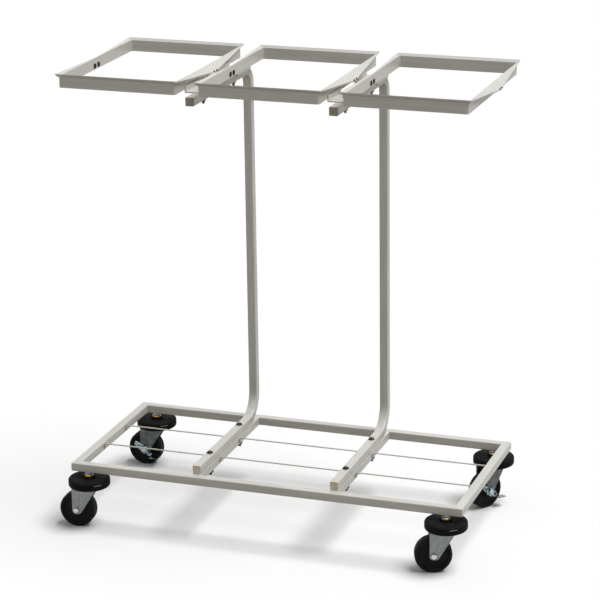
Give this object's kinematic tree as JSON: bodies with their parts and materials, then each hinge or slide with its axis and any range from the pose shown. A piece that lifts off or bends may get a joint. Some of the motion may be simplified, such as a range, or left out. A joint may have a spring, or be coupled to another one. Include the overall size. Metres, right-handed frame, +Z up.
{
  "type": "recycling sack holder",
  "caption": "Castored sack holder: a low square-tube base, bent posts and folded sheet rings in a row that hold hanging sacks open.",
  "frame": {"origin": "on the floor under the middle of the base", "axes": "+X to the right along the row of rings, +Y to the rear where the posts stand, +Z up"},
  "size_m": [0.9365, 0.483, 1.0146],
  "materials": {
    "powder_coat": "satin",
    "plug": "matte",
    "bolt_steel": "polished",
    "zinc": "satin",
    "brass": "satin",
    "bumper": "matte",
    "wheel": "matte"
  },
  "bodies": {
    "frame": {"arm_plug_left": "plug", "arm_plug_right": "plug", "base_front_rail": "powder_coat", "base_left_rail": "powder_coat", "base_rear_rail": "powder_coat", "base_right_rail": "powder_coat", "brass_washer_front_left": "brass", "brass_washer_front_right": "brass", "brass_washer_rear_left": "brass", "brass_washer_rear_right": "brass", "bumper_disc_front_left": "bumper", "bumper_disc_front_right": "bumper", "bumper_disc_rear_left": "bumper", "bumper_disc_rear_right": "bumper", "cross_rail_left": "powder_coat", "cross_rail_right": "powder_coat", "foot_bolts_left": "bolt_steel", "foot_bolts_right": "bolt_steel", "foot_nuts_left": "bolt_steel", "foot_nuts_right": "bolt_steel", "foot_plug_left": "plug", "foot_plug_right": "plug", "post_left": "powder_coat", "post_right": "powder_coat", "ring_tie_left_front": "powder_coat", "ring_tie_left_rear": "powder_coat", "ring_tie_right_front": "powder_coat", "ring_tie_right_rear": "powder_coat", "sack_ring_left": "powder_coat", "sack_ring_middle": "powder_coat", "sack_ring_right": "powder_coat", "shelf_wire_left_front": "powder_coat", "shelf_wire_left_rear": "powder_coat", "shelf_wire_middle_front": "powder_coat", "shelf_wire_middle_rear": "powder_coat", "shelf_wire_right_front": "powder_coat", "shelf_wire_right_rear": "powder_coat", "stem_front_left": "zinc", "stem_front_right": "zinc", "stem_rear_left": "zinc", "stem_rear_right": "zinc", "tie_bolts_left": "bolt_steel", "tie_bolts_right": "bolt_steel", "tie_nuts_left": "bolt_steel", "tie_nuts_right": "bolt_steel"},
    "castor_front_left": {"fork_front_left": "zinc", "axle_front_left": "zinc"},
    "wheel_front_left": {"wheel_front_left": "wheel"},
    "castor_front_right": {"fork_front_right": "zinc", "axle_front_right": "zinc"},
    "wheel_front_right": {"wheel_front_right": "wheel"},
    "castor_rear_left": {"fork_rear_left": "zinc", "axle_rear_left": "zinc"},
    "wheel_rear_left": {"wheel_rear_left": "wheel"},
    "brake_rear_left": {"brake_lever_rear_left": "zinc"},
    "castor_rear_right": {"fork_rear_right": "zinc", "axle_rear_right": "zinc"},
    "wheel_rear_right": {"wheel_rear_right": "wheel"},
    "brake_rear_right": {"brake_lever_rear_right": "zinc"}
  },
  "joints": [
    {"name": "swivel_front_left", "type": "hinge", "parent": "frame", "child": "castor_front_left", "pos_m": [-0.4075, -0.1955, 0.0949], "axis": [0, 0, 1], "continuous": true},
    {"name": "spin_front_left", "type": "hinge", "parent": "castor_front_left", "child": "wheel_front_left", "pos_m": [-0.4344, -0.19785, 0.04], "axis": [0.0872, -0.9962, 0], "continuous": true},
    {"name": "swivel_front_right", "type": "hinge", "parent": "frame", "child": "castor_front_right", "pos_m": [0.4075, -0.1955, 0.0949], "axis": [0, 0, 1], "continuous": true},
    {"name": "spin_front_right", "type": "hinge", "parent": "castor_front_right", "child": "wheel_front_right", "pos_m": [0.38229, -0.20518, 0.04], "axis": [0.3584, -0.9336, 0], "continuous": true},
    {"name": "swivel_rear_left", "type": "hinge", "parent": "frame", "child": "castor_rear_left", "pos_m": [-0.4075, 0.1955, 0.0949], "axis": [0, 0, 1], "continuous": true},
    {"name": "spin_rear_left", "type": "hinge", "parent": "castor_rear_left", "child": "wheel_rear_left", "pos_m": [-0.43448, 0.19456, 0.04], "axis": [0.0349, -0.9994, 0], "continuous": true},
    {"name": "brake_rear_left", "type": "hinge", "parent": "castor_rear_left", "child": "brake_rear_left", "pos_m": [-0.43448, 0.19456, 0.04], "axis": [0.0349, -0.9994, 0], "range_deg": [0, 15]},
    {"name": "swivel_rear_right", "type": "hinge", "parent": "frame", "child": "castor_rear_right", "pos_m": [0.4075, 0.1955, 0.0949], "axis": [0, 0, 1], "continuous": true},
    {"name": "spin_rear_right", "type": "hinge", "parent": "castor_rear_right", "child": "wheel_rear_right", "pos_m": [0.39319, 0.1726, 0.04], "axis": [0.848, -0.5299, 0], "continuous": true},
    {"name": "brake_rear_right", "type": "hinge", "parent": "castor_rear_right", "child": "brake_rear_right", "pos_m": [0.39319, 0.1726, 0.04], "axis": [0.848, -0.5299, 0], "range_deg": [0, 15]}
  ]
}
